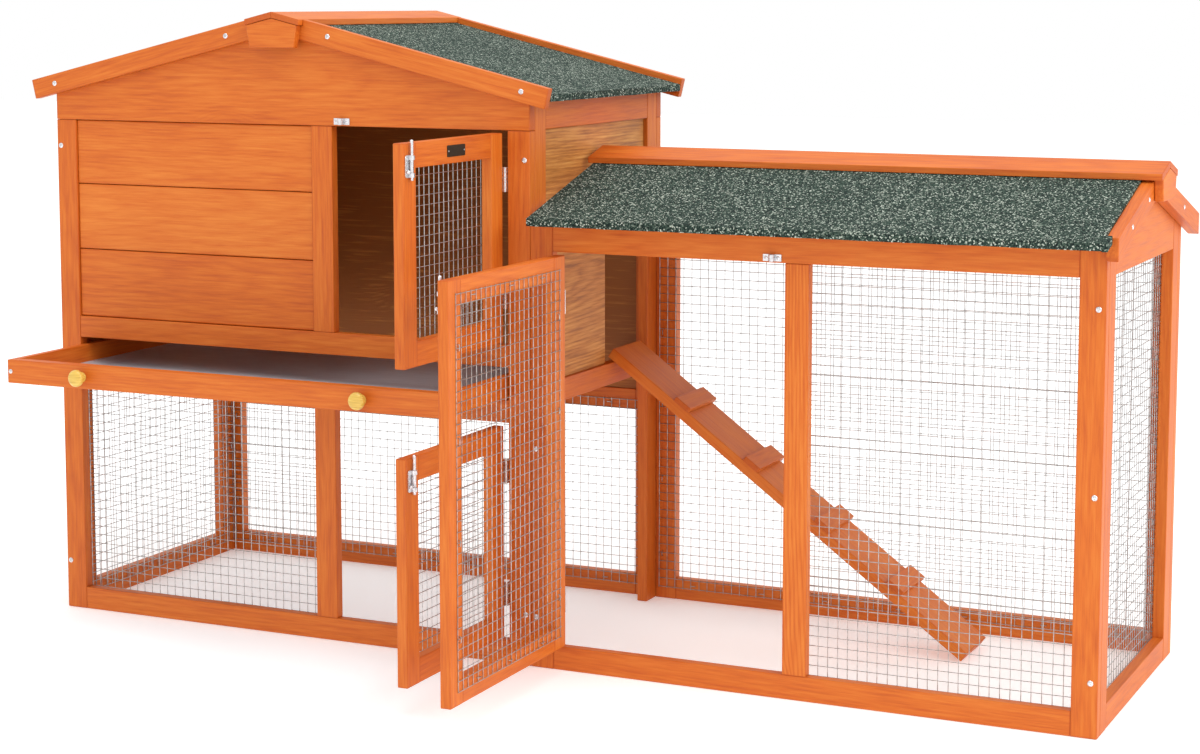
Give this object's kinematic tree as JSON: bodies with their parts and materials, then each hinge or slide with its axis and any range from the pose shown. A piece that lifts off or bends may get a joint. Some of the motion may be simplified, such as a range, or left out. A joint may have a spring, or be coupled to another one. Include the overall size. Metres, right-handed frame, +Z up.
{
  "type": "rabbit hutch",
  "caption": "Two-storey timber rabbit hutch with a wire mesh run, mesh doors, a pull-out tray and a ramp between floors.",
  "frame": {"origin": "on the ground under the middle of the whole hutch's box, with the doors open and the tray pulled out as at rest", "axes": "+X along the hutch from the house to the run, +Y from the front to the back, +Z up"},
  "size_m": [1.5498, 0.776, 0.8522],
  "materials": {
    "stained_wood": "orange-brown stained fir, satin",
    "plywood": "golden plywood, satin",
    "roof_felt": "board covered with dark green granule roofing felt",
    "wire_mesh": "galvanised",
    "zinc_hardware": "bright zinc plate",
    "tray_steel": "grey sheet steel",
    "knob_wood": "pale yellow lacquer"
  },
  "bodies": {
    "hutch": {"house_front_frame": "stained_wood", "front_gable_board": "stained_wood", "front_cladding": "stained_wood", "left_side_frame": "stained_wood", "right_side_frame": "stained_wood", "house_back_frame": "stained_wood", "tray_runner_left": "stained_wood", "tray_runner_right": "stained_wood", "house_ridge_cap": "stained_wood", "house_gable_block": "stained_wood", "front_bargeboard_left": "stained_wood", "front_bargeboard_right": "stained_wood", "back_bargeboards": "stained_wood", "run_front_frame": "stained_wood", "run_mid_stile": "stained_wood", "run_back_frame": "stained_wood", "run_end_frame": "stained_wood", "run_ridge_cap": "stained_wood", "run_gable_block": "stained_wood", "run_bargeboards": "stained_wood", "left_wall_panel": "plywood", "right_wall_panel": "plywood", "back_wall_panel": "plywood", "house_roof_left": "roof_felt", "house_roof_right": "roof_felt", "run_roof_front": "roof_felt", "run_roof_back": "roof_felt", "house_front_mesh": "wire_mesh", "left_side_mesh": "wire_mesh", "house_back_mesh": "wire_mesh", "run_front_mesh": "wire_mesh", "run_back_mesh": "wire_mesh", "run_end_mesh": "wire_mesh", "upper_door_keeper": "zinc_hardware", "upper_door_hinge_upper": "zinc_hardware", "upper_door_hinge_lower": "zinc_hardware", "lower_door_keeper": "zinc_hardware", "lower_door_hinge_upper": "zinc_hardware", "lower_door_hinge_lower": "zinc_hardware", "run_door_keeper": "zinc_hardware", "run_door_hinge_upper": "zinc_hardware", "run_door_hinge_lower": "zinc_hardware"},
    "upper_door": {"upper_door_frame": "stained_wood", "upper_door_mesh": "wire_mesh", "upper_door_bolt_plate": "zinc_hardware"},
    "upper_door_bolt": {"upper_door_bolt_rod": "zinc_hardware"},
    "lower_door": {"lower_door_frame": "stained_wood", "lower_door_mesh": "wire_mesh", "lower_door_bolt_plate": "zinc_hardware"},
    "lower_door_bolt": {"lower_door_bolt_rod": "zinc_hardware"},
    "run_door": {"run_door_frame": "stained_wood", "run_door_mesh": "wire_mesh", "run_door_bolt_plate": "zinc_hardware"},
    "run_door_bolt": {"run_door_bolt_rod": "zinc_hardware"},
    "tray": {"tray_front_board": "stained_wood", "tray_side_frame": "stained_wood", "tray_floor": "tray_steel", "tray_knob_1": "knob_wood", "tray_knob_2": "knob_wood"},
    "ramp": {"ramp": "stained_wood"}
  },
  "joints": [
    {"name": "upper_door_hinge", "type": "hinge", "parent": "hutch", "child": "upper_door", "pos_m": [-0.03135, -0.076, 0.562], "axis": [0, 0, 1], "range_deg": [-90, 10]},
    {"name": "lower_door_hinge", "type": "hinge", "parent": "hutch", "child": "lower_door", "pos_m": [-0.03135, -0.076, 0.1755], "axis": [0, 0, 1], "range_deg": [-90, 10]},
    {"name": "run_door_hinge", "type": "hinge", "parent": "hutch", "child": "run_door", "pos_m": [0.03765, -0.076, 0.289], "axis": [0, 0, 1], "range_deg": [0, 90]},
    {"name": "upper_door_bolt_slide", "type": "slide", "parent": "upper_door", "child": "upper_door_bolt", "axis": [0, 0, 1], "range_m": [0, 0.012]},
    {"name": "lower_door_bolt_slide", "type": "slide", "parent": "lower_door", "child": "lower_door_bolt", "axis": [0, 0, 1], "range_m": [0, 0.012]},
    {"name": "run_door_bolt_slide", "type": "slide", "parent": "run_door", "child": "run_door_bolt", "axis": [0, 0, 1], "range_m": [0, 0.012]},
    {"name": "tray_slide", "type": "slide", "parent": "hutch", "child": "tray", "axis": [0, 1, 0], "range_m": [-0.23, 0.163]},
    {"name": "ramp_hinge", "type": "hinge", "parent": "hutch", "child": "ramp", "pos_m": [-0.00415, 0.226, 0.3749], "axis": [0, 1, 0], "range_deg": [-50, 0]}
  ]
}
